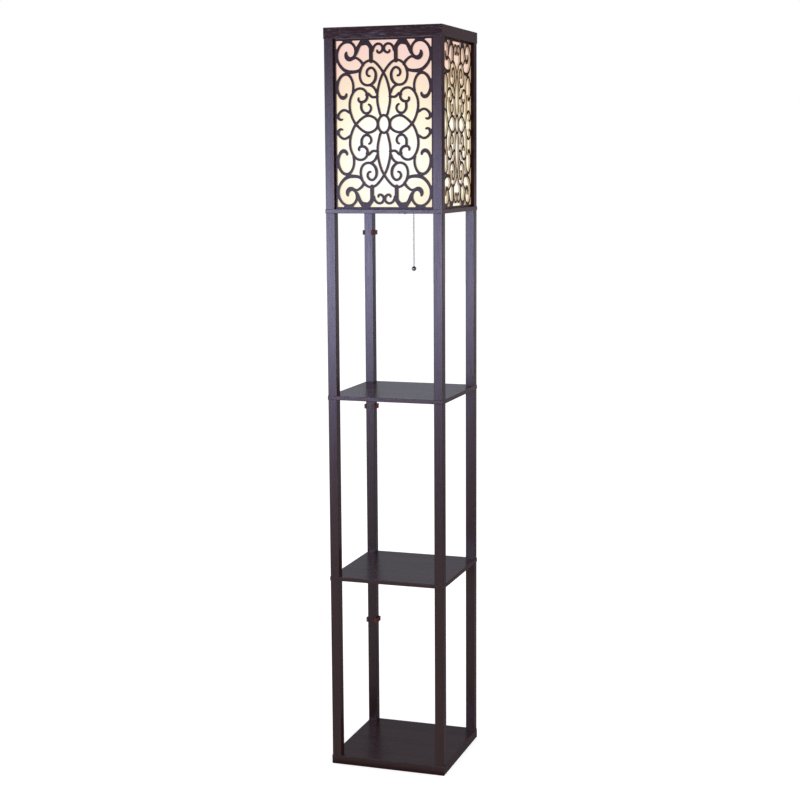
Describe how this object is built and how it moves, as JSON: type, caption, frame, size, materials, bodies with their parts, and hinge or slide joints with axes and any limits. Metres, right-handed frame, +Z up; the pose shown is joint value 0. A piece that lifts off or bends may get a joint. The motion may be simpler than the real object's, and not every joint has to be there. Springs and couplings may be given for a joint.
{
  "type": "floor lamp",
  "caption": "Tall square shelf floor lamp: open post frame with shelves, a scroll fretwork lamp box on top, a pull-chain lamp holder, bulb and cord clips.",
  "frame": {"origin": "middle of the base board's underside, on the floor", "axes": "+Z up; -Y towards the front; +X to the right seen from the front"},
  "size_m": [0.263, 0.2677, 1.6],
  "materials": {
    "espresso_wood": "satin espresso stain",
    "fretwork_wood": "satin espresso stain on cut board",
    "liner_sheet": "matte translucent",
    "zinc_steel": "zinc plated",
    "beech_dowel": "bare beech",
    "brass_shell": "satin",
    "fibre": "matte fibre",
    "phenolic": "satin",
    "bulb_metal": "satin",
    "bulb_glass": "frosted",
    "chain_metal": "polished nickel",
    "pull_metal": "dark polished",
    "black_plastic": "satin",
    "clip_plastic": "satin brown"
  },
  "bodies": {
    "lamp": {"base_board": "espresso_wood", "base_bolts": "zinc_steel", "centre_contact": "brass_shell", "chain_grommet": "black_plastic", "chain_spout": "brass_shell", "cord_gland": "black_plastic", "fretwork_front": "fretwork_wood", "fretwork_left": "fretwork_wood", "fretwork_rear": "fretwork_wood", "fretwork_right": "fretwork_wood", "gland_nut": "black_plastic", "insulating_sleeve": "fibre", "lamp_floor": "espresso_wood", "lamp_pipe": "zinc_steel", "lamp_post_front_left": "espresso_wood", "lamp_post_front_right": "espresso_wood", "lamp_post_rear_left": "espresso_wood", "lamp_post_rear_right": "espresso_wood", "liner_front": "liner_sheet", "liner_left": "liner_sheet", "liner_rear": "liner_sheet", "liner_right": "liner_sheet", "lower_cord_clip": "clip_plastic", "lower_post_front_left": "espresso_wood", "lower_post_front_right": "espresso_wood", "lower_post_rear_left": "espresso_wood", "lower_post_rear_right": "espresso_wood", "lower_shelf": "espresso_wood", "middle_cord_clip": "clip_plastic", "middle_post_front_left": "espresso_wood", "middle_post_front_right": "espresso_wood", "middle_post_rear_left": "espresso_wood", "middle_post_rear_right": "espresso_wood", "pipe_nut": "zinc_steel", "pipe_washer": "zinc_steel", "post_dowels": "beech_dowel", "post_studs": "zinc_steel", "rail_dowels": "beech_dowel", "screw_shell": "bulb_metal", "socket_cap": "brass_shell", "socket_shell": "brass_shell", "switch_block": "phenolic", "top_rail_front": "espresso_wood", "top_rail_left": "espresso_wood", "top_rail_rear": "espresso_wood", "top_rail_right": "espresso_wood", "upper_cord_clip": "clip_plastic", "upper_post_front_left": "espresso_wood", "upper_post_front_right": "espresso_wood", "upper_post_rear_left": "espresso_wood", "upper_post_rear_right": "espresso_wood", "upper_shelf": "espresso_wood"},
    "bulb_seat": {"bulb_foot": "bulb_metal"},
    "bulb": {"bulb_glass": "bulb_glass", "bulb_cap": "bulb_metal"},
    "chain_top": {"chain_upper": "chain_metal"},
    "chain_joint": {"chain_link": "chain_metal"},
    "chain_hanging": {"chain_lower": "chain_metal", "pull_ball": "pull_metal"}
  },
  "joints": [
    {"name": "chain_pull", "type": "slide", "parent": "lamp", "child": "chain_top", "axis": [0, 0, -1], "range_m": [0, 0.01], "stiffness_N_per_m": 600, "springref_m": -0.002},
    {"name": "chain_swing_side", "type": "hinge", "parent": "chain_top", "child": "chain_joint", "pos_m": [0.0245, 0, 1.211], "axis": [0, 1, 0], "range_deg": [-35, 35]},
    {"name": "chain_swing_fore", "type": "hinge", "parent": "chain_joint", "child": "chain_hanging", "pos_m": [0.0245, 0, 1.211], "axis": [1, 0, 0], "range_deg": [-35, 35]},
    {"name": "bulb_rise", "type": "slide", "parent": "lamp", "child": "bulb_seat", "axis": [0, 0, 1], "range_m": [0, 0.0182]},
    {"name": "bulb_turn", "type": "hinge", "parent": "bulb_seat", "child": "bulb", "pos_m": [0, 0, 1.2606], "axis": [0, 0, 1], "range_deg": [0, 1800]}
  ],
  "couplings": [
    {"joint": "bulb_rise", "follows": "bulb_turn", "m_per_rad": 0.0005776}
  ]
}
